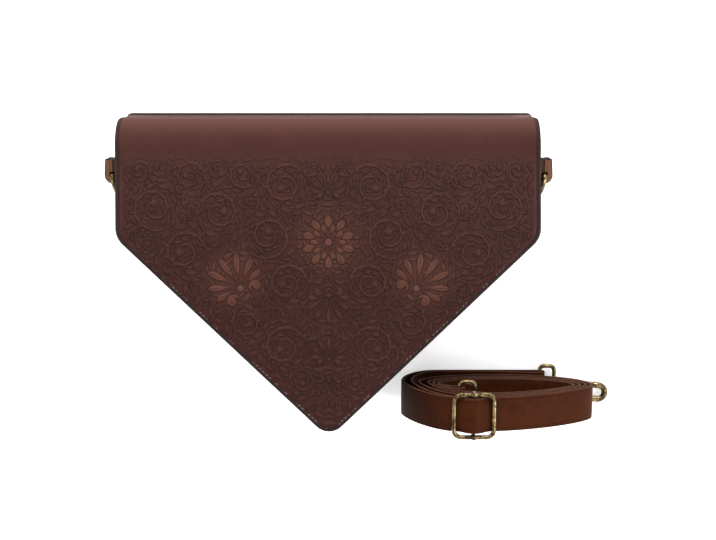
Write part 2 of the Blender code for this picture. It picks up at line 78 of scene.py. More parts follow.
bm = bmesh.new()
bmesh.ops.create_grid(bm, x_segments=1, y_segments=1, size=TABLE_SIZE)
floor_mesh = bpy.data.meshes.new("table_top")
bm.to_mesh(floor_mesh)
bm.free()
floor = bpy.data.objects.new("table_top", floor_mesh)
floor.location.z = -TABLE_DROP
scene.collection.objects.link(floor)
floor_finish = bpy.data.materials.new("matt white board")
floor_finish.use_nodes = True
floor_shader = floor_finish.node_tree.nodes["Principled BSDF"]
floor_shader.inputs["Base Color"].default_value = (0.93, 0.93, 0.93, 1.0)
floor_shader.inputs["Roughness"].default_value = 0.9
floor_shader.inputs["Emission Color"].default_value = (1.0, 1.0, 1.0, 1.0)
floor_shader.inputs["Emission Strength"].default_value = TABLE_GLOW
floor_mesh.materials.append(floor_finish)

Softbox = namedtuple("Softbox", "name place size power")
SOFTBOXES = (
    Softbox("light_beyond_fold", (-0.10, 1.30, 0.55), (1.80, 0.60), 30.0),
    Softbox("light_left", (-1.05, -0.15, 1.05), (0.70, 1.40), 9.0),
    Softbox("light_right", (1.05, -0.25, 1.05), (0.70, 1.40), 17.0),
    Softbox("light_low", (0.00, -1.30, 0.60), (1.20, 0.40), 5.0),
)
for box in SOFTBOXES:
    lamp = bpy.data.lights.new(box.name, "AREA")
    lamp.shape = "RECTANGLE"
    lamp.size, lamp.size_y = box.size
    lamp.energy = box.power
    holder = bpy.data.objects.new(box.name, lamp)
    holder.location = box.place
    holder.rotation_euler = (TARGET - Vector(box.place)).to_track_quat("-Z", "Y").to_euler()
    scene.collection.objects.link(holder)
world = bpy.data.worlds.new("studio")
world.use_nodes = True
world.node_tree.nodes["Background"].inputs["Color"].default_value = (1.0, 1.0, 1.0, 1.0)
world.node_tree.nodes["Background"].inputs["Strength"].default_value = ROOM_LIGHT
scene.world = world

# Back panel and front panel. Two flat pentagons of smooth brown leather, with a painted edge and a
# row of stitches near it. Each is a flat sheet whose open edge is extruded outwards and over, as
# with a bevelling tool. A strip along the back panel's top is painted pale as a highlight.
class Value:
    """A socket of a finish. Sums and products on it add Math nodes."""

    def __init__(self, finish, socket):
        self.finish = finish
        self.socket = socket

    def maths(self, operation, first, second):
        return self.finish.node("ShaderNodeMath", {"operation": operation}, {0: first, 1: second})

    def __add__(self, other):
        return self.maths("ADD", self, other)

    def __sub__(self, other):
        return self.maths("SUBTRACT", self, other)

    def __rsub__(self, other):
        return self.maths("SUBTRACT", other, self)

    def __mul__(self, other):
        return self.maths("MULTIPLY", self, other)

    __radd__ = __add__

    def size(self):
        """The value without its sign."""
        return self.maths("ABSOLUTE", self, 0.0)

    def larger(self, other):
        return self.maths("MAXIMUM", self, other)

    def between(self, low, high):
        """0 at low, 1 at high and a smooth rise between them. Low may be the larger one."""
        settings = {"interpolation_type": "SMOOTHSTEP"}
        limits = {"Value": self, "From Min": low, "From Max": high, "To Min": 0.0, "To Max": 1.0}
        if low > high:
            limits.update({"From Min": high, "From Max": low, "To Min": 1.0, "To Max": 0.0})
        return self.finish.node("ShaderNodeMapRange", settings, limits)


class Finish:
    """A material with a Principled shader, and the nodes that vary it."""

    def __init__(self, name, **constants):
        self.material = bpy.data.materials.new(name)
        self.material.use_nodes = True
        self.tree = self.material.node_tree
        self.shader = self.tree.nodes["Principled BSDF"]
        for socket, value in constants.items():
            self.shader.inputs[socket.replace("_", " ")].default_value = value

    def node(self, kind, settings, sockets, output=0):
        """Adds a node, sets it, feeds its sockets, and gives one of its outputs."""
        made = self.tree.nodes.new(kind)
        for key, value in settings.items():
            setattr(made, key, value)
        for key, value in sockets.items():
            self.feed(made.inputs[key], value)
        return Value(self, made.outputs[output])

    def feed(self, socket, value):
        if isinstance(value, Value):
            self.tree.links.new(value.socket, socket)
        else:
            socket.default_value = value

    def place(self):
        return self.node("ShaderNodeTexCoord", {}, {}, "Object")

    def axis(self, letter):
        return self.node("ShaderNodeSeparateXYZ", {}, {0: self.place()}, "XYZ".index(letter))

    def attribute(self, name):
        return self.node("ShaderNodeAttribute", {"attribute_name": name}, {}, "Fac")

    def clouds(self, size, detail=3.0, rough=0.5):
        """Noise with patches of about the size."""
        return self.node("ShaderNodeTexNoise", {}, {
            "Vector": self.place(), "Scale": 1.0 / size, "Detail": detail, "Roughness": rough})

    def cells(self, size):
        """Distance inside cells of about the size, as in the grain of leather."""
        return self.node("ShaderNodeTexVoronoi", {}, {
            "Vector": self.place(), "Scale": 1.0 / size})

    def mix(self, factor, first, second):
        """From the first colour to the second."""
        colours = [(*c, 1.0) if isinstance(c, tuple) else c for c in (first, second)]
        return self.node("ShaderNodeMix", {"data_type": "RGBA"},
                         {0: factor, 6: colours[0], 7: colours[1]}, 2)

    def vary(self, colour, roughness, relief, depth):
        """Links what changes over the surface. Relief is 0 to 1, depth its height in metres."""
        bump = self.node("ShaderNodeBump", {}, {"Height": relief, "Distance": depth}, "Normal")
        for socket, value in (("Base Color", colour), ("Roughness", roughness), ("Normal", bump)):
            self.feed(self.shader.inputs[socket], value)
        return self.material


def smooth_leather(name, dark, light, edges=()):
    """Pebbled grain and slow clouds of dye. edges pairs a mask with a colour for each edge."""
    finish = Finish(name, Specular_IOR_Level=0.06)
    mottle = finish.clouds(0.022) * 0.6 + finish.clouds(0.005, 4.0) * 0.4
    colour = finish.mix(mottle.between(0.34, 0.66), dark, light)
    pebbles = finish.cells(0.0011).between(0.0, 0.75)
    creases = finish.clouds(0.0042, 5.0, 0.62).between(0.30, 0.70)
    colour = finish.mix(pebbles * 0.22, colour, tuple(0.55 * part for part in dark))
    rough = 0.46 + mottle * 0.16
    for mask, edge_colour in edges:
        edge = mask(finish)
        colour = finish.mix(edge, colour, edge_colour)
        rough = rough + edge * 0.25
    relief = creases * 0.45 - pebbles * 0.55
    return finish.vary(colour, rough, relief, 0.00010)


def rounded(corners, steps=12):
    """A closed outline through (x, y, radius) corners, each rounded by an arc of its radius."""
    points = []
    for i, (x, y, radius) in enumerate(corners):
        here = Vector((x, y))
        if radius == 0:
            points.append((x, y))
            continue
        before = (Vector(corners[i - 1][:2]) - here).normalized()
        after = (Vector(corners[(i + 1) % len(corners)][:2]) - here).normalized()
        half = before.angle(after) / 2
        centre = here + (before + after).normalized() * radius / math.sin(half)
        first = (here + before * radius / math.tan(half) - centre).normalized()
        last = (here + after * radius / math.tan(half) - centre).normalized()
        points += [tuple(centre + radius * first.slerp(last, j / steps)) for j in range(steps + 1)]
    return points


POINT_Y = -0.1017
SLANT = 0.98
SIDE_RADIUS = 0.014
POINT_RADIUS = 0.011
SLANT_INSET = 0.0030
BODY_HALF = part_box("back_panel")[1].x


def pentagon(top_y, top_radius, shrink):
    """Outline of a panel, all of its sides moved in by the shrinking."""
    point_y = POINT_Y + (SLANT_INSET + shrink) * math.hypot(1.0, SLANT)
    side = BODY_HALF - shrink
    side_y = point_y + SLANT * side
    return rounded([
        (side, top_y - shrink, top_radius - shrink),
        (side, side_y, SIDE_RADIUS - shrink),
        (0.0, point_y, POINT_RADIUS - shrink),
        (-side, side_y, SIDE_RADIUS - shrink),
        (-side, top_y - shrink, top_radius - shrink),
    ])


def mitre(edges):
    """Outward directions at the vertices of a sheet's open edge, mitred between its two edges."""
    pushes = {}
    for edge in edges:
        start, end = edge.verts
        face = edge.link_faces[0]
        normal = (end.co - start.co).normalized().cross(Vector((0, 0, 1)))
        if normal.dot(face.calc_center_median() - start.co) > 0:
            normal = -normal
        for vert in edge.verts:
            pushes.setdefault(vert, []).append(normal)
    return {vert: (a + b) / (1 + a.dot(b)) for vert, (a, b) in pushes.items()}


def turn_edge(bm, profile, roots=None):
    """Extrudes the open edge through (outwards, height) steps, and closes the sheet's back.

    roots gives each vertex of the open edge its place and its outward direction.
    """
    edges = [edge for edge in bm.edges if edge.is_boundary]
    if roots is None:
        roots = {vert: (vert.co.copy(), push) for vert, push in mitre(edges).items()}
    rings = []
    for out, height in profile:
        grown = bmesh.ops.extrude_edge_only(bm, edges=edges)["geom"]
        fresh = [v for v in grown if isinstance(v, bmesh.types.BMVert)]
        moved = {}
        for vert in fresh:
            old = next(e.other_vert(vert) for e in vert.link_edges if e.other_vert(vert) in roots)
            base, push = roots[old]
            vert.co = base + push * out
            vert.co.z = height
            moved[vert] = (base, push)
        roots = moved
        edges = [e for e in grown if isinstance(e, bmesh.types.BMEdge) and e.is_boundary]
        rings.append(fresh)
    back = bmesh.ops.contextual_create(bm, geom=edges)["faces"]
    return rings, back


def to_object(name, bm, finish, replaced=(), body="root"):
    """Makes a smooth-shaded piece of the mesh, which rides on its body."""
    mesh = bpy.data.meshes.new(name)
    bm.to_mesh(mesh)
    bm.free()
    mesh.shade_smooth()
    mesh.materials.append(finish)
    obj = bpy.data.objects.new(name, mesh)
    scene.collection.objects.link(obj)
    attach(obj, body)
    if replaced:
        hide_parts(*replaced)
    return obj


def paint(obj, name, values):
    """Stores one number for each vertex, for the finish to read."""
    held = obj.data.attributes.new(name, "FLOAT", "POINT")
    held.data.foreach_set("value", np.asarray(values, np.float32))


PANEL_ROUNDING = 0.0007
EDGE_ROOM = 0.0016
ROUND_STEPS = 4
UNPAINTED_RINGS = 2


def panel(node, outline, finish):
    """A flat panel with rounded edges, its outline given where its rounding starts."""
    low, high = (corner.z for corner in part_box(node))
    bm = bmesh.new()
    bm.faces.new([bm.verts.new((x, y, high)) for x, y in outline])
    turns = [math.pi / 2 * i / ROUND_STEPS for i in range(ROUND_STEPS + 1)]
    over = [(EDGE_ROOM - PANEL_ROUNDING * (1 - math.sin(a)),
             high - PANEL_ROUNDING * (1 - math.cos(a))) for a in turns]
    under = [(out, low + high - height) for out, height in reversed(over)]
    rings = turn_edge(bm, over + under)[0]
    bm.verts.index_update()
    painted = {v.index for ring in rings[UNPAINTED_RINGS:-UNPAINTED_RINGS] for v in ring}
    bmesh.ops.recalc_face_normals(bm, faces=bm.faces)
    obj = to_object(node + "_leather", bm, finish, [node])
    paint(obj, "cut_edge", [1.0 if i in painted else 0.0 for i in range(len(obj.data.vertices))])


def cut_edge(finish):
    return finish.attribute("cut_edge").between(0.3, 0.8)


BACK_TOP_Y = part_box("back_panel")[1].y
HIGHLIGHT_FROM_Y = BACK_TOP_Y - 0.0040
BRIGHTEST_FROM_Y = BACK_TOP_Y - 0.0030
BRIGHTEST_TO_Y = BACK_TOP_Y - 0.0014
HIGHLIGHT_TO_Y = BACK_TOP_Y - 0.0008


# A painted highlight: a pale strip along the back panel's top edge.
def painted_highlight_top(finish):
    up = finish.axis("Y")
    return up.between(HIGHLIGHT_FROM_Y, BRIGHTEST_FROM_Y) * up.between(HIGHLIGHT_TO_Y, BRIGHTEST_TO_Y)


# The pale colour (0.200, 0.138, 0.118) is the painted highlight along the back panel's top.
panel_leather = smooth_leather("panel leather", (0.036, 0.011, 0.009), (0.056, 0.019, 0.015), [
    (painted_highlight_top, (0.200, 0.138, 0.118)), (cut_edge, (0.010, 0.006, 0.005))])
BACK_CORNER = 0.0035
FRONT_CORNER = 0.0030
PANEL_STITCH_IN = 0.0030
panel_rows = []
for node, corner, out in (("back_panel", BACK_CORNER, -1), ("front_panel", FRONT_CORNER, 1)):
    low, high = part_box(node)
    panel(node, pentagon(high.y, corner, EDGE_ROOM), panel_leather)
    seam_z = low.z if out < 0 else high.z
    row = [(x, y, seam_z) for x, y in pentagon(high.y, corner, PANEL_STITCH_IN)]
    panel_rows.append((row + row[:1], (0, 0, out)))


def spaced_along(points, pitch):
    """Places and directions an even pitch apart along a line of points."""
    line = np.array(points, float)
    steps = np.linalg.norm(np.diff(line, axis=0), axis=1)
    run = np.concatenate([[0.0], np.cumsum(steps)])
    count = int(run[-1] / pitch)
    at = (np.arange(count) + 0.5) * run[-1] / count
    ahead = at + 0.25 * pitch
    behind = at - 0.25 * pitch
    places = np.stack([np.interp(at, run, line[:, k]) for k in range(3)], 1)
    ways = np.stack([np.interp(ahead, run, line[:, k]) - np.interp(behind, run, line[:, k])
                     for k in range(3)], 1)
    return places, ways / np.linalg.norm(ways, axis=1)[:, None]


THREAD_TURN = 0.12


def sew(name, rows, pitch, thick, finish):
    """Stitches along rows of points: each is a short rounded piece of thread, a little askew."""
    bm = bmesh.new()
    for row, up in rows:
        for place, way in zip(*spaced_along(row, pitch)):
            made = bmesh.ops.create_uvsphere(bm, u_segments=6, v_segments=5, radius=1.0)["verts"]
            long = Vector(way)
            wide = Vector(up).cross(long).normalized()
            high = long.cross(wide)
            turn = Matrix((wide, high, long)).transposed() @ Matrix.Rotation(THREAD_TURN, 3, "Y")
            size = Matrix.Diagonal((thick, thick * 0.8, pitch * 0.40))
            bmesh.ops.transform(bm, verts=made,
                                matrix=Matrix.Translation(place) @ (turn @ size).to_4x4())
    to_object(name, bm, finish)


NO_SHEEN_ABOVE_Y = 0.025
FULL_SHEEN_BELOW_Y = -0.010


def thread(name, dark, light):
    """Twisted waxed thread, with a painted sheen in pale patches along the slants."""
    finish = Finish(name, Specular_IOR_Level=0.3)
    low_down = finish.axis("Y").between(NO_SHEEN_ABOVE_Y, FULL_SHEEN_BELOW_Y)
    # Pale patches along the slants are a painted sheen.
    wear_and_sheen = finish.clouds(0.006, 2.0).between(0.44, 0.58) * low_down
    strands = finish.clouds(0.0004, 1.0).between(0.35, 0.65)
    return finish.vary(finish.mix(wear_and_sheen, dark, light), 0.62, strands, 0.00006)


dark_thread = thread("dark brown thread", (0.012, 0.006, 0.005), (0.120, 0.088, 0.074))
PANEL_THREAD = 0.00028
PANEL_PITCH = 0.0033
sew("panel_stitches", panel_rows, PANEL_PITCH, PANEL_THREAD, dark_thread)

# Gusset. One band of the same leather round the sides and the point, its long edges turned in
# against the two panels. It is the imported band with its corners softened.
MERGED_WITHIN = 2e-6
BEVEL_STEPS = 2


def merged_copy(node):
    """The node's solid with its loose triangles merged, and joined to flat four-sided faces."""
    bm = bmesh.new()
    bm.from_mesh(nodes[node].data)
    bmesh.ops.remove_doubles(bm, verts=bm.verts, dist=MERGED_WITHIN)
    bmesh.ops.join_triangles(bm, faces=bm.faces, angle_face_threshold=math.radians(1.0),
                             angle_shape_threshold=math.pi)
    return bm


def soften(obj, width, degrees=50.0, rounds=0):
    """Rounds the piece's hard edges, and smooths its bends in as many rounds."""
    bevel = obj.modifiers.new("Rounded edges", "BEVEL")
    bevel.width = width
    bevel.segments = BEVEL_STEPS
    bevel.limit_method = "ANGLE"
    bevel.angle_limit = math.radians(degrees)
    if rounds:
        smooth = obj.modifiers.new("Smooth bends", "SUBSURF")
        smooth.levels = smooth.render_levels = rounds


GUSSET_ROUNDING = 0.0006
gusset_leather = smooth_leather("gusset leather", (0.040, 0.013, 0.010), (0.062, 0.022, 0.017))
gusset = to_object("gusset_leather", merged_copy("gusset"), gusset_leather,
                   ["gusset"])
soften(gusset, GUSSET_ROUNDING)

# Side tabs. A folded loop of lighter leather on each side, closed over a filler ply and sewn to
# the gusset above its ring. Its cut edges are raw: pale, with a darker ply on the bag's side, a
# dark seam between the plies and a dark rim.
TAB_LOW, TAB_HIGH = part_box("tab_left")
TAB_MIDDLE_Z = (TAB_LOW.z + TAB_HIGH.z) / 2
TAB_HALF = (TAB_HIGH.z - TAB_LOW.z) / 2
TAB_TOP_Y = TAB_HIGH.y
SEAM_X = 0.1321
SEAM_FROM_Y = 0.0629
SEAM_HALF = 0.00050
SEAM_CORE = 0.00020
SEAM_END_BLEND = 0.0004
PLY_BLEND = 0.0003
EDGE_FROM = 0.0009
EDGE_FULL = 0.0004
RIM_FROM = 0.0008
RIM_FULL = 0.0003
# The outer face leans inwards by so much for each metre up, through a point given by its X and Y.
TAB_LEAN = 0.0816
TAB_FACE_X = 0.1375
TAB_FACE_Y = 0.0608
TAB_OUTER = TAB_FACE_X + TAB_LEAN * TAB_FACE_Y


def tab_edge(finish):
    """The cut edges of the loop, and of its filler ply."""
    off_middle = (finish.axis("Z") - TAB_MIDDLE_Z).size()
    return off_middle.between(TAB_HALF - EDGE_FROM, TAB_HALF - EDGE_FULL)


def inner_ply(finish):
    return finish.axis("X").size().between(SEAM_X, SEAM_X - PLY_BLEND) * tab_edge(finish)


def tab_rim(finish):
    outer = (finish.axis("X").size() + finish.axis("Y") * TAB_LEAN).between(
        TAB_OUTER - RIM_FROM, TAB_OUTER - RIM_FULL)
    return outer.larger(finish.axis("Y").between(TAB_TOP_Y - RIM_FROM, TAB_TOP_Y - RIM_FULL))


def tab_seam(finish):
    near = (finish.axis("X").size() - SEAM_X).size().between(SEAM_HALF, SEAM_CORE)
    above = finish.axis("Y").between(SEAM_FROM_Y - SEAM_END_BLEND, SEAM_FROM_Y)
    return near * above * tab_edge(finish)


TAB_STITCH_HALF = 0.0056
TAB_STITCH_ROWS = ((0.13712, 0.0656), (0.13688, 0.0685))
TAB_PITCH = 0.0028
TAB_ROUNDING = 0.0004
tab_leather = smooth_leather("tab leather", (0.085, 0.033, 0.021), (0.130, 0.056, 0.036), [
    (tab_edge, (0.170, 0.082, 0.052)), (inner_ply, (0.080, 0.033, 0.021)),
    (tab_rim, (0.028, 0.011, 0.008)), (tab_seam, (0.012, 0.005, 0.004))])
for side, out in (("left", -1), ("right", 1)):
    tab = to_object("tab_leather_" + side, merged_copy("tab_" + side), tab_leather,
                    ["tab_" + side])
    soften(tab, TAB_ROUNDING, rounds=1)
    rows = [([(out * x, y, TAB_MIDDLE_Z + z) for z in (-TAB_STITCH_HALF, TAB_STITCH_HALF)],
             (out, 0, 0)) for x, y in TAB_STITCH_ROWS]
    sew("tab_stitches_" + side, rows, TAB_PITCH, PANEL_THREAD, dark_thread)

# Metal fittings. Cast and bent brass with an antique finish: dark in the hollows, rubbed bright
# on what stands out. The rings, hooks, gates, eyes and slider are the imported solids, rounded.
def antique_brass(name):
    finish = Finish(name, Metallic=1.0)
    patches = finish.clouds(0.0035, 4.0, 0.6)
    fine = finish.clouds(0.0007, 3.0)
    wear_and_sheen = (patches * 0.65 + fine * 0.35).between(0.40, 0.60)
    colour = finish.mix(wear_and_sheen, (0.048, 0.033, 0.016), (0.270, 0.200, 0.095))
    return finish.vary(colour, 0.46 - wear_and_sheen * 0.20, patches * 0.5 + fine * 0.5, 0.00008)


brass = antique_brass("antique brass")
BODY_OF = {node: body for body, members in frame["record"]["behaviour"]["bodies"].items()
           for node in members}
BRASS_ROUNDING = 0.00022
SHARP_FROM = math.radians(50.0)
ROUNDED_FROM_DEGREES = 55.0


def fitting(node, kind, finish, rounding):
    """A metal piece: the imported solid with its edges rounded, on the body it belongs to."""
    piece = to_object(node + kind, merged_copy(node), finish, [node], BODY_OF[node])
    piece.data.set_sharp_from_angle(angle=SHARP_FROM)
    soften(piece, rounding, ROUNDED_FROM_DEGREES)


for node in ("d_ring_left", "d_ring_right", "slider", "eye_outer", "hook_outer", "gate_outer",
             "eye_inner", "hook_inner", "gate_inner"):
    fitting(node, "_brass", brass, BRASS_ROUNDING)

# Magnetic fastener. A plated steel disc hidden between the front panel and the flap. It is the
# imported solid, with its edges rounded.
def plated_steel():
    finish = Finish("plated steel", Metallic=1.0)
    scratches = finish.clouds(0.0012, 4.0, 0.7)
    colour = finish.mix(scratches.between(0.35, 0.65), (0.36, 0.34, 0.30), (0.50, 0.47, 0.42))
    return finish.vary(colour, 0.28 + scratches * 0.14, scratches, 0.00003)


MAGNET_ROUNDING = 0.0003
fitting("magnet_snap", "_steel", plated_steel(), MAGNET_ROUNDING)

# Strap. One long strip of warm brown leather, rolled up, with painted shade darkening it towards
# its left end, lighter cut edges, and a crease pressed near each of them with painted shade in it.
# It is the imported roll with its edges rounded.
STRAP_LOW, STRAP_HIGH = (corner.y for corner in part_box("strap"))
STRAP_MIDDLE = (STRAP_LOW + STRAP_HIGH) / 2
STRAP_HALF = (STRAP_HIGH - STRAP_LOW) / 2
CREASE_IN = 0.0019
CREASE_HALF = 0.00045
CUT_EDGE_FROM = 0.0005
CUT_EDGE_FULL = 0.0001
STRAP_ROUNDING = 0.00042
# Painted shade on the strap deepens from the first X to the second of each slope.
LEFT_END_SHADE = ((0.100, 0.046), (0.102, 0.040))


def strap_finish():
    finish = Finish("strap leather", Specular_IOR_Level=0.04)
    across = (finish.axis("Y") - STRAP_MIDDLE).size()
    edge = across.between(STRAP_HALF - CUT_EDGE_FROM, STRAP_HALF - CUT_EDGE_FULL)
    crease = (across - (STRAP_HALF - CREASE_IN)).size().between(CREASE_HALF, 0.0)
    mottle = finish.clouds(0.016) * 0.55 + finish.clouds(0.0035, 4.0) * 0.45
    colour = finish.mix(mottle.between(0.34, 0.66), (0.039, 0.0080, 0.0016),
                        (0.058, 0.0140, 0.0034))
    along = finish.axis("X")
    # Painted shade: the strap darkens towards its left end.
    painted_shade = along.between(*LEFT_END_SHADE[0]) * along.between(*LEFT_END_SHADE[1])
    colour = finish.mix(painted_shade * 0.90, colour, (0.010, 0.0018, 0.0005))
    pebbles = finish.cells(0.0008).between(0.0, 0.75)
    colour = finish.mix(pebbles * 0.25, colour, (0.022, 0.007, 0.003))
    fibres = finish.clouds(0.0009, 4.0, 0.7)
    cut = finish.mix(fibres.between(0.35, 0.65), (0.040, 0.014, 0.007), (0.085, 0.037, 0.022))
    # Painted shade in each crease.
    colour = finish.mix(crease * 0.45, colour, (0.016, 0.005, 0.003))
    colour = finish.mix(edge, colour, cut)
    relief = 0.7 - crease * 0.7 - pebbles * 0.12 + fibres * edge * 0.3
    return finish.vary(colour, 0.42 + mottle * 0.15 + edge * 0.2, relief, 0.00025)


strap = to_object("strap_leather", merged_copy("strap"), strap_finish(),
                  ["strap"])
soften(strap, STRAP_ROUNDING, rounds=1)

# Flap. One piece of thick leather: the tooled leaf, the fold over the mouth and the flange sewn
# inside the back panel. It is cut flat as a fine sheet, pressed with scrollwork, given its edge
# and stitch groove, and then bent over. All of the tooling is worked out in millimetres.
MM = 0.001
FLAP_WALL = 0.0026
FLAP_HALF_TOP = 0.1273
FLAP_HALF_SIDE = 0.1288
FOLD_START_Y = 0.0770
FOLD_CENTRE_Z = 0.0220
FLANGE_TOP_Y = 0.0860
FLANGE_END_Y = 0.0720
FLANGE_HALF = 0.1225
NARROW_FROM_Z = 0.0340
NARROW_TO_Z = 0.0100
FLAP_LOW, FLAP_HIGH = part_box("flap")
FLAP_MID_Z = FLAP_HIGH.z - FLAP_WALL / 2
CREST_MID_Y = FLAP_HIGH.y - FLAP_WALL / 2
FLANGE_MID_Z = FLAP_LOW.z + FLAP_WALL / 2
SHEET_PITCH = 0.00065
SHEET_IN = 0.0036
STITCH_IN = 0.0025
FOLD_ROWS = 31
QUARTER_STEPS = 50
PROBE = 1e-4

turn = np.linspace(0.0, np.pi / 2, QUARTER_STEPS)
fold_radius = CREST_MID_Y - FOLD_START_Y
fold_line = np.concatenate([
    np.stack([FOLD_START_Y + fold_radius * np.sin(turn),
              FLAP_MID_Z - fold_radius * (1 - np.cos(turn))], 1),
    np.stack([FLANGE_TOP_Y + (CREST_MID_Y - FLANGE_TOP_Y) * np.cos(turn),
              FOLD_CENTRE_Z - (FOLD_CENTRE_Z - FLANGE_MID_Z) * np.sin(turn)], 1),
    [(FLANGE_END_Y, FLANGE_MID_Z)],
])
fold_steps = np.linalg.norm(np.diff(fold_line, axis=0), axis=1)
fold_run = np.concatenate([[0.0], np.cumsum(fold_steps)])
FLAT_END_Y = FOLD_START_Y + fold_run[-1]


def bend(flat):
    """Bends points of the flat sheet, (x, y, height over its middle), round the fold."""
    x, y, height = np.asarray(flat, float).T
    run = np.maximum(y - FOLD_START_Y, 0.0)
    here = [np.interp(run, fold_run, fold_line[:, k]) for k in (0, 1)]
    ahead = [np.interp(run + PROBE, fold_run, fold_line[:, k]) for k in (0, 1)]
    behind = [np.interp(np.maximum(run - PROBE, 0.0), fold_run, fold_line[:, k]) for k in (0, 1)]
    way = np.stack([ahead[0] - behind[0], ahead[1] - behind[1]], 1)
    way /= np.maximum(np.linalg.norm(way, axis=1), 1e-9)[:, None]
    on_leaf = y <= FOLD_START_Y
    way[on_leaf] = (1.0, 0.0)
    t = np.clip((here[1] - NARROW_TO_Z) / (NARROW_FROM_Z - NARROW_TO_Z), 0.0, 1.0)
    half = FLANGE_HALF + (FLAP_HALF_TOP - FLANGE_HALF) * t * t * (3 - 2 * t)
    across = x * np.where(on_leaf, 1.0, half / FLAP_HALF_TOP)
    out_y = np.where(on_leaf, y, here[0] - way[:, 1] * height)
    out_z = np.where(on_leaf, FLAP_MID_Z + height, here[1] + way[:, 0] * height)
    return np.stack([across, out_y, out_z], 1)


def flap_outline(inset, steps=8):
    """Outline of the flat sheet, moved in by the inset."""
    point_y = POINT_Y + inset * math.hypot(1.0, SLANT)
    side = FLAP_HALF_SIDE - inset
    top = FLAP_HALF_TOP - inset
    side_y = point_y + SLANT * side
    return rounded([
        (top, FLAT_END_Y - inset, 0.0),
        (top, FOLD_START_Y, 0.0),
        (side, side_y, SIDE_RADIUS - inset),
        (0.0, point_y, POINT_RADIUS - inset),
        (-side, side_y, SIDE_RADIUS - inset),
        (-top, FOLD_START_Y, 0.0),
        (-top, FLAT_END_Y - inset, 0.0),
    ], steps)


SHORT_CUT = 0.01


def trim(bm, outline):
    """Cuts a flat sheet to a clockwise convex outline. A short cut takes only the faces near it."""
    reach = 3 * SIDE_RADIUS
    for a, b in zip(outline, outline[1:] + outline[:1]):
        way = Vector((b[0] - a[0], b[1] - a[1], 0.0))
        near = bm.faces[:]
        if way.length < SHORT_CUT:
            near = [f for f in near if abs(f.verts[0].co.x - a[0]) + abs(f.verts[0].co.y - a[1])
                    < reach]
        edges = list({e for f in near for e in f.edges})
        verts = list({v for f in near for v in f.verts})
        bmesh.ops.bisect_plane(bm, geom=verts + edges + near, dist=1e-6, plane_co=(*a, 0.0),
                               plane_no=Vector((-way.y, way.x, 0.0)), clear_outer=True)
    bmesh.ops.remove_doubles(bm, verts=bm.verts, dist=3e-5)
    bmesh.ops.delete(bm, geom=[v for v in bm.verts if not v.link_faces], context="VERTS")


def outward(verts):
    """Places of the sheet's open edge on its outline, and the directions of the hem there."""
    inner, outer = (np.array(flap_outline(inset)) for inset in (SHEET_IN, 0.0))
    start, step = inner, np.roll(inner, -1, axis=0) - inner
    push = (outer - inner) / SHEET_IN
    found = {}
    for vert in verts:
        offset = np.array(vert.co.xy) - start
        along = np.clip((offset * step).sum(1) / (step ** 2).sum(1), 0.0, 1.0)
        i = int(np.argmin(np.linalg.norm(offset - along[:, None] * step, axis=1)))
        t = along[i]
        way = (1 - t) * push[i] + t * push[(i + 1) % len(push)]
        found[vert] = (Vector((*(start[i] + t * step[i]), vert.co.z)), Vector((*way, 0.0)))
    return found


FAR = 4.0
PRESS_REACH = 2.5
VEINED_TO = 0.2


class Tooling:
    """Relief pressed into leather at many places, in millimetres.

    outline is the distance to the edge of the nearest raised shape, less than 0 inside it; vein is
    the distance to the middle of a leaf, with a sign; warm is how far the dye is rubbed off.
    """

    def __init__(self, places):
        self.places = places
        count = len(places)
        self.relief = np.zeros(count)
        self.outline = np.full(count, FAR)
        self.vein = np.full(count, FAR)
        self.warm = np.zeros(count)

    def press(self, line, radii, height, veined=False):
        """Raises a rounded shape along a line, whose half width is given at each of its points."""
        line = np.asarray(line, float)
        radii = np.broadcast_to(np.asarray(radii, float), len(line))
        reach = radii.max() + PRESS_REACH
        low, high = line.min(0) - reach, line.max(0) + reach
        at = np.nonzero(((self.places > low) & (self.places < high)).all(1))[0]
        if not len(at):
            return
        point = self.places[at][:, None, :]
        start, step = line[:-1], np.diff(line, axis=0)
        offset = point - start
        along = np.clip((offset * step).sum(2) / np.maximum((step ** 2).sum(1), 1e-9), 0.0, 1.0)
        away = np.linalg.norm(offset - along[..., None] * step, axis=2)
        half = radii[:-1] + along * np.diff(radii)
        best = np.argmin(away - half, axis=1)
        row = np.arange(len(at))
        away, half = away[row, best], half[row, best]
        edge = away - half
        dome = height * (1 - np.clip(away / half, 0.0, 1.0) ** 2) ** 0.8
        self.relief[at] = np.maximum(self.relief[at], dome)
        self.outline[at] = np.minimum(self.outline[at], edge)
        if veined:
            inside = edge < VEINED_TO
            side = (step[best, 0] * offset[row, best, 1] - step[best, 1] * offset[row, best, 0])
            side = side / np.linalg.norm(step[best], axis=1)
            self.vein[at[inside]] = side[inside]

    def glow(self, centre, radius, strength):
        """Rubs the dye off round a centre."""
        away = np.linalg.norm(self.places - centre, axis=1) / radius
        self.warm = np.maximum(self.warm, strength * np.exp(-away ** 4))


def towards(heading):
    return np.array([np.cos(heading), np.sin(heading)])


def leaf(tooling, root, heading, length, width, curl, height, fullest=0.4):
    """A veined leaf that curls as it grows. fullest is how far along it is widest."""
    t = np.linspace(0.0, 1.0, 9)
    steps = towards(heading + curl * t[:-1]).T * length / 8
    line = np.concatenate([[root], root + np.cumsum(steps, axis=0)])
    bulge = np.sin(np.pi * t ** (np.log(0.5) / np.log(fullest)))
    tooling.press(line, width / 2 * (0.12 + 0.88 * bulge), height, veined=width > 1.8)


def bead(tooling, centre, radius, height):
    tooling.press([centre, centre + 0.01], radius, height)


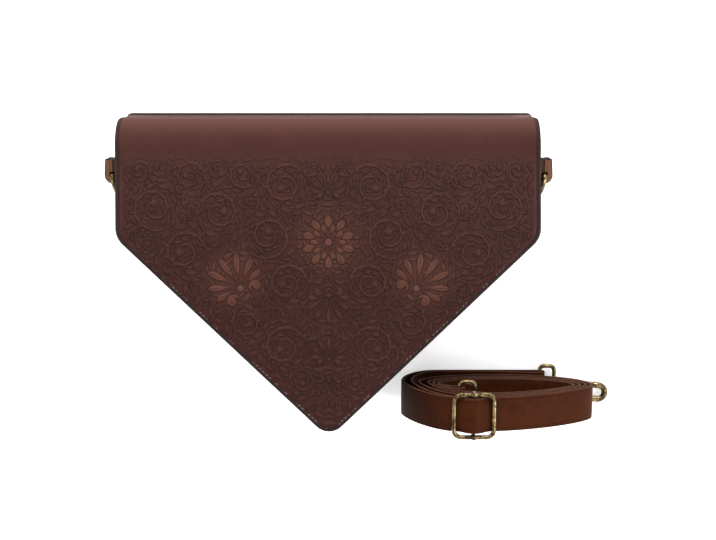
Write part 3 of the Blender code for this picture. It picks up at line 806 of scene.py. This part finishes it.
def volute(tooling, centre, radius, start, hand, turns, stem, height):
    """A stem that winds in to a bud, and gives its line of points."""
    t = np.linspace(0.0, 1.0, int(16 * turns) + 6)
    angle = start + hand * 2 * np.pi * turns * t
    reach = (radius - stem) * (1 - 0.80 * t ** 0.85)
    line = centre + towards(angle).T * reach[:, None]
    half = stem * (0.35 + 0.65 * np.clip(t / 0.12, 0.0, 1.0)) * (1 - 0.35 * t)
    tooling.press(line, half, height)
    bead(tooling, line[-1], 1.7 * stem, 1.25 * height)
    return line


def ring_of_leaves(tooling, centre, count, first, inner, length, width, height, fullest=0.4):
    for i in range(count):
        heading = first + 2 * np.pi * i / count
        leaf(tooling, centre + inner * towards(heading), heading, length, width, 0.0, height,
             fullest)


def rosette(tooling, centre, radius, heading, height):
    """A flower of three rings of rounded petals round a beaded boss."""
    bead(tooling, centre, 0.12 * radius, 1.3 * height)
    for i in range(14):
        bead(tooling, centre + 0.19 * radius * towards(2 * np.pi * i / 14), 0.035 * radius,
             0.8 * height)
    for count, first, inner, length, width, fullest in (
            (10, 0.0, 0.25, 0.30, 0.17, 0.62), (10, 0.5, 0.40, 0.40, 0.24, 0.62),
            (20, 0.25, 0.74, 0.24, 0.10, 0.60)):
        ring_of_leaves(tooling, centre, count, heading + first * 2 * np.pi / 10, inner * radius,
                       length * radius, width * radius, height, fullest)


def palmette(tooling, centre, radius, heading, height):
    """A fan of rounded lobes over a bud, rising between two volutes."""
    ahead = towards(heading)
    aside = towards(heading + np.pi / 2)
    root = centre - 0.50 * radius * ahead
    for i in range(-4, 5):
        lean = 0.42 * i
        length = (1.38 - 0.045 * i * i) * radius
        leaf(tooling, root + 0.22 * radius * towards(heading + lean), heading + lean,
             length - 0.22 * radius, 0.25 * radius, 0.16 * i, height, 0.72)
    bead(tooling, root + 0.05 * radius * ahead, 0.13 * radius, 1.2 * height)
    for hand in (-1, 1):
        volute(tooling, root + hand * 0.50 * radius * aside - 0.18 * radius * ahead,
               0.32 * radius, heading - hand * 2.0, hand, 1.2, 0.06 * radius, height)


SPRIG_BELOW = 3.8
SMALL_VOLUTE_BELOW = 6.0
LAST_OUTER_LEAF = 16


def scroll(tooling, centre, radius, start, hand):
    """Fills a circle: a sprig, a small volute, or a large one with leaves all along."""
    if radius < SPRIG_BELOW:
        foot = centre + towards(start) * radius * 0.8
        for lean in (-0.75, 0.0, 0.75):
            leaf(tooling, foot, start + np.pi + lean, 1.45 * radius, 0.62 * radius, 0.6 * lean,
                 0.24)
    elif radius < SMALL_VOLUTE_BELOW:
        line = volute(tooling, centre, radius, start, hand, 1.25, 0.55, 0.28)
        inward = centre - line[6]
        leaf(tooling, line[5], np.arctan2(inward[1], inward[0]) - 0.9 * hand, 0.55 * radius, 1.3,
             0.8 * hand, 0.26)
    else:
        line = volute(tooling, centre, radius, start, hand, 1.6, 0.045 * radius + 0.42, 0.42)
        for k in range(2, len(line) - 9, 2):
            inward = centre - line[k]
            way = np.arctan2(inward[1], inward[0])
            length = 0.42 * np.linalg.norm(inward)
            leaf(tooling, line[k], way - 1.05 * hand, length, 0.30 * length + 0.4, 1.1 * hand, 0.30)
            if k <= LAST_OUTER_LEAF:
                leaf(tooling, line[k], way + 2.35 * hand, 0.30 * radius, 0.11 * radius + 0.3,
                     0.9 * hand, 0.28)
        ring_of_leaves(tooling, line[-1], 6, 0.0, 0.9, 0.14 * radius, 0.10 * radius, 0.28)


# Layout of one half of the flap. The ornaments on and beside the middle are listed one by one, and
# scrolls of falling size fill what is left, each sprouting from its nearest neighbour.
Motif = namedtuple("Motif", "draw x y radius heading warmth")
MOTIFS = (
    Motif(rosette, 0.0, 22.0, 20.0, 0.0, 1.0),
    Motif(palmette, 58.0, 0.0, 17.5, 55.0, 1.0),
    Motif(palmette, 0.0, 56.0, 10.0, 90.0, 0.0),
    Motif(palmette, 0.0, -17.0, 13.5, -90.0, 0.0),
    Motif(palmette, 0.0, -46.0, 11.0, 90.0, 0.0),
    Motif(palmette, 0.0, -68.0, 8.0, -90.0, 0.0),
)
ORNAMENT_HEIGHT = 0.45
BORDER = 6.0
MIDDLE_ROOM = 0.4
LARGEST_SCROLL = 16.0
SMALLEST_SCROLL = 3.2
TOP_OF_TOOLING = 73.5
WIDEST_GAP = 1.45
SEARCH_X = (0.5, 124.0)
SEARCH_Y = (-92.0, 74.0)
SEARCH_PITCH = 0.75


def border_room(x, y):
    """How far a place is from the middle line, the top and the border of the tooled field."""
    slant = (y - SLANT * x - POINT_Y / MM) / math.hypot(1.0, SLANT) - BORDER
    return np.minimum.reduce([x - MIDDLE_ROOM, TOP_OF_TOOLING - y,
                              FLAP_HALF_TOP / MM - BORDER - x, slant])


def grow_scrolls(tooling, circles):
    """Fills the room that the circles leave with scrolls, largest first, and adds their circles."""
    x, y = np.meshgrid(np.arange(*SEARCH_X, SEARCH_PITCH), np.arange(*SEARCH_Y, SEARCH_PITCH))
    room = border_room(x, y)
    for centre, radius, _ in circles:
        room = np.minimum(room, np.hypot(x - centre[0], y - centre[1]) - radius)
    while room.max() > SMALLEST_SCROLL:
        best = np.unravel_index(np.argmax(np.minimum(room, LARGEST_SCROLL)), room.shape)
        centre = np.array([x[best], y[best]])
        radius = min(room[best], LARGEST_SCROLL)
        gaps = [np.linalg.norm(centre - c) - r for c, r, _ in circles]
        parent = circles[int(np.argmin(gaps))]
        back = parent[0] - centre
        hand = -parent[2]
        scroll(tooling, centre, radius, np.arctan2(back[1], back[0]), hand)
        circles.append((centre, radius, hand))
        room = np.minimum(room, np.hypot(x - centre[0], y - centre[1]) - radius)


def fill_gaps(tooling, circles):
    """Presses a small leaf into the widest gap, until none is wider than is allowed."""
    centres = np.array([centre for centre, _, _ in circles])
    radii = np.array([radius for _, radius, _ in circles])
    field = border_room(*tooling.places.T) > 0
    while True:
        gap = np.where(field, tooling.outline, 0.0)
        widest = int(np.argmax(gap))
        if gap[widest] < WIDEST_GAP:
            return
        place = tooling.places[widest]
        away = place - centres
        nearest = int(np.argmin(np.linalg.norm(away, axis=1) - radii))
        hand = circles[nearest][2]
        around = np.arctan2(away[nearest][1], away[nearest][0]) + hand * (np.pi / 2 - 0.5)
        length = min(2.2 * gap[widest] + 0.8, 7.0)
        leaf(tooling, place - 0.5 * length * towards(around), around, length,
             0.62 * gap[widest] + 0.35, 0.5 * hand, 0.24)


def tool(places):
    """The tooling of the whole flap. Its left half mirrors its right half."""
    tooling = Tooling(np.stack([np.abs(places[:, 0]), places[:, 1]], 1))
    circles = []
    for motif in MOTIFS:
        centre = np.array([motif.x, motif.y])
        circles.append((centre, motif.radius, 1))
        tooling.glow(centre, 1.02 * motif.radius, motif.warmth)
        motif.draw(tooling, centre, motif.radius, math.radians(motif.heading), ORNAMENT_HEIGHT)
    grow_scrolls(tooling, circles)
    fill_gaps(tooling, circles)
    return tooling


PLAIN_STRIP = 0.003
half_width = FLAP_HALF_SIDE - SHEET_IN
leaf_low = POINT_Y
leaf_high = FOLD_START_Y - PLAIN_STRIP
bm = bmesh.new()
size = Matrix.Diagonal((2 * half_width, leaf_high - leaf_low, 1.0, 1.0))
middle = Matrix.Translation((0.0, (leaf_high + leaf_low) / 2, 0.0))
bmesh.ops.create_grid(bm, x_segments=round(2 * half_width / SHEET_PITCH),
                      y_segments=round((leaf_high - leaf_low) / SHEET_PITCH), size=0.5,
                      matrix=middle @ size)
trim(bm, flap_outline(SHEET_IN))
front_edge = [e for e in bm.edges if e.is_boundary
              and min(v.co.y for v in e.verts) > leaf_high - 1e-5]
fold_places = np.linspace(FOLD_START_Y, FLAT_END_Y - SHEET_IN, FOLD_ROWS)
for place in fold_places:
    grown = bmesh.ops.extrude_edge_only(bm, edges=front_edge)["geom"]
    row = [v for v in grown if isinstance(v, bmesh.types.BMVert)]
    for vert in row:
        vert.co.y = place
    front_edge = [e for e in grown if isinstance(e, bmesh.types.BMEdge) and e.is_boundary
                  and all(v.co.y == e.verts[0].co.y for v in e.verts)]
ends = max(v.co.x for v in row) - 1e-5
bmesh.ops.dissolve_verts(bm, verts=[v for v in row if abs(v.co.x) < ends])

# The ground near the tooling is pressed down, and all of it fades out towards the fold.
GROUND_DEPTH = 0.10
GROUND_FROM = 0.4
GROUND_SLOPE = 1.4
FADED_PAST_TOP = 1.5
FADE_LENGTH = 9.0
places = np.array([(v.co.x, v.co.y) for v in bm.verts]) / MM
tooling = tool(places)
fade = np.clip((TOP_OF_TOOLING + FADED_PAST_TOP - places[:, 1]) / FADE_LENGTH, 0.0, 1.0) ** 0.7
ground = GROUND_DEPTH * np.clip((tooling.outline - GROUND_FROM) / GROUND_SLOPE, 0.0, 1.0)
height = (tooling.relief + (ground - GROUND_DEPTH)) * fade
layers = {name: bm.verts.layers.float.new(name) for name in (
    "outline", "vein", "warm", "pressed", "cut_edge", "groove", "lip")}
for i, vert in enumerate(bm.verts):
    vert.co.z = FLAP_WALL / 2 + height[i] * MM
    vert[layers["outline"]] = tooling.outline[i]
    vert[layers["vein"]] = tooling.vein[i]
    vert[layers["warm"]] = tooling.warm[i]
    vert[layers["pressed"]] = fade[i]

# The hem, as (inset from the edge, height over the middle) in millimetres: the stitch groove, the
# raised lip beside it, the rounded edge and the wall below it.
HEM = ((3.2, 1.27), (2.85, 1.16), (2.5, 1.08), (2.15, 1.16), (1.75, 1.32), (1.3, 1.42), (0.9, 1.40),
       (0.55, 1.27), (0.27, 1.04), (0.08, 0.72), (0.0, 0.30), (0.0, -0.75), (0.18, -1.12),
       (0.5, -1.30))
PAINTED_IN = 0.5
open_edge = {v for e in bm.edges if e.is_boundary for v in e.verts}
rings, back = turn_edge(bm, [(SHEET_IN - inset * MM, height * MM) for inset, height in HEM],
                        outward(open_edge))
for (inset, height), ring in zip(HEM, rings):
    for vert in ring:
        vert[layers["outline"]] = FAR
        vert[layers["cut_edge"]] = 1.0 if inset < PAINTED_IN else 0.0
        vert[layers["lip"]] = 1.0 if inset < STITCH_IN / MM else 0.0
        vert[layers["groove"]] = 1.0 if inset == STITCH_IN / MM else 0.0
for place in fold_places:
    whole = [f for f in back if f.is_valid]
    cut = bmesh.ops.bisect_plane(bm, geom=whole + list({e for f in whole for e in f.edges})
                                 + list({v for f in whole for v in f.verts}), dist=1e-6,
                                 plane_co=(0.0, place, 0.0), plane_no=(0.0, 1.0, 0.0))
    back = [f for f in cut["geom"] if isinstance(f, bmesh.types.BMFace)]
bmesh.ops.recalc_face_normals(bm, faces=bm.faces)


# Where the leather turns duller, is stretched pale with painted light on the fold, and is painted
# lighter towards the top, along Y.
BENT = (FOLD_START_Y - 0.012, FOLD_START_Y + 0.004)
STRETCHED_AND_LIT = (FOLD_START_Y + 0.007, FOLD_START_Y + 0.0195)
LIT_TOWARDS_TOP = (-0.015, FOLD_START_Y)


def flap_finish():
    finish = Finish("tooled leather", Specular_IOR_Level=0.15)
    mottle = finish.clouds(0.024) * 0.55 + finish.clouds(0.006, 4.0) * 0.45
    colour = finish.mix(mottle.between(0.30, 0.70), (0.033, 0.0070, 0.0052),
                        (0.043, 0.0106, 0.0080))
    along = finish.axis("Y")
    # Painted light: paler over the fold, partly from stretching, and lighter towards the top.
    pale_and_painted_light = along.between(*STRETCHED_AND_LIT) * 0.50 + along.between(*LIT_TOWARDS_TOP) * 0.22
    colour = finish.mix(pale_and_painted_light, colour, (0.088, 0.036, 0.027))
    outline = finish.attribute("outline")
    pressed = finish.attribute("pressed")
    inside = outline.between(0.10, -0.25) * pressed
    vein = finish.attribute("vein").size().between(0.34, 0.10) * outline.between(-0.15, -0.45)
    vein = vein * pressed
    line = outline.size().between(0.42, 0.10) * pressed
    warm = finish.attribute("warm")
    rub = finish.clouds(0.0012, 4.0, 0.65).between(0.30, 0.62)
    # Painted highlight on the raised tooled shapes.
    colour = finish.mix(inside * 0.42, colour, (0.067, 0.023, 0.018))
    colour = finish.mix(warm * (inside * 0.65 + 0.32) * (rub * 0.45 + 0.55), colour,
                        (0.110, 0.040, 0.024))
    # Painted shade along the outlines and veins of the tooled shapes.
    colour = finish.mix((line * 0.60).larger(vein * 0.45), colour, (0.010, 0.003, 0.0026))
    pebbles = finish.cells(0.0009).between(0.0, 0.75)
    colour = finish.mix(pebbles * 0.15, colour, (0.016, 0.005, 0.004))
    colour = finish.mix(finish.attribute("lip") * 0.72, colour, (0.014, 0.0092, 0.0085))
    # Painted shade in the stitch groove.
    colour = finish.mix(finish.attribute("groove") * 0.7, colour, (0.006, 0.002, 0.002))
    edge = cut_edge(finish)
    colour = finish.mix(edge, colour, (0.009, 0.006, 0.006))
    raised = outline.between(0.35, -0.60) * pressed
    relief = 0.4 + raised * 0.60 - line * 0.20 - vein * 0.18 - pebbles * 0.04
    rough = 0.42 + mottle * 0.08 + along.between(*BENT) * 0.36
    return finish.vary(colour, rough, relief, 0.00085)


flap = to_object("flap_leather", bm, flap_finish(), ["flap"])
flat = np.empty(3 * len(flap.data.vertices))
flap.data.vertices.foreach_get("co", flat)
flap.data.vertices.foreach_set("co", bend(flat.reshape(-1, 3)).ravel())
flap.data.update()

STITCH_PITCH = 0.0028
FLAP_THREAD = 0.00040
THREAD_HEIGHT = 1.26 * MM
SEAM_TOP_Y = FOLD_START_Y + 0.004
SEAM_SAMPLE = 0.001
seam = flap_outline(STITCH_IN, steps=10)
last = next(i for i, (x, y) in enumerate(seam) if x < 0 and y > FOLD_START_Y - 1e-6)
flat_seam = [(x, y, THREAD_HEIGHT) for x, y in seam[1:last + 1]]
flat_seam.insert(0, (flat_seam[0][0], SEAM_TOP_Y, THREAD_HEIGHT))
flat_seam.append((flat_seam[-1][0], SEAM_TOP_Y, THREAD_HEIGHT))
even = spaced_along(flat_seam, SEAM_SAMPLE)[0]
sew("flap_stitches", [(bend(even), (0, 0, 1))], STITCH_PITCH, FLAP_THREAD, dark_thread)
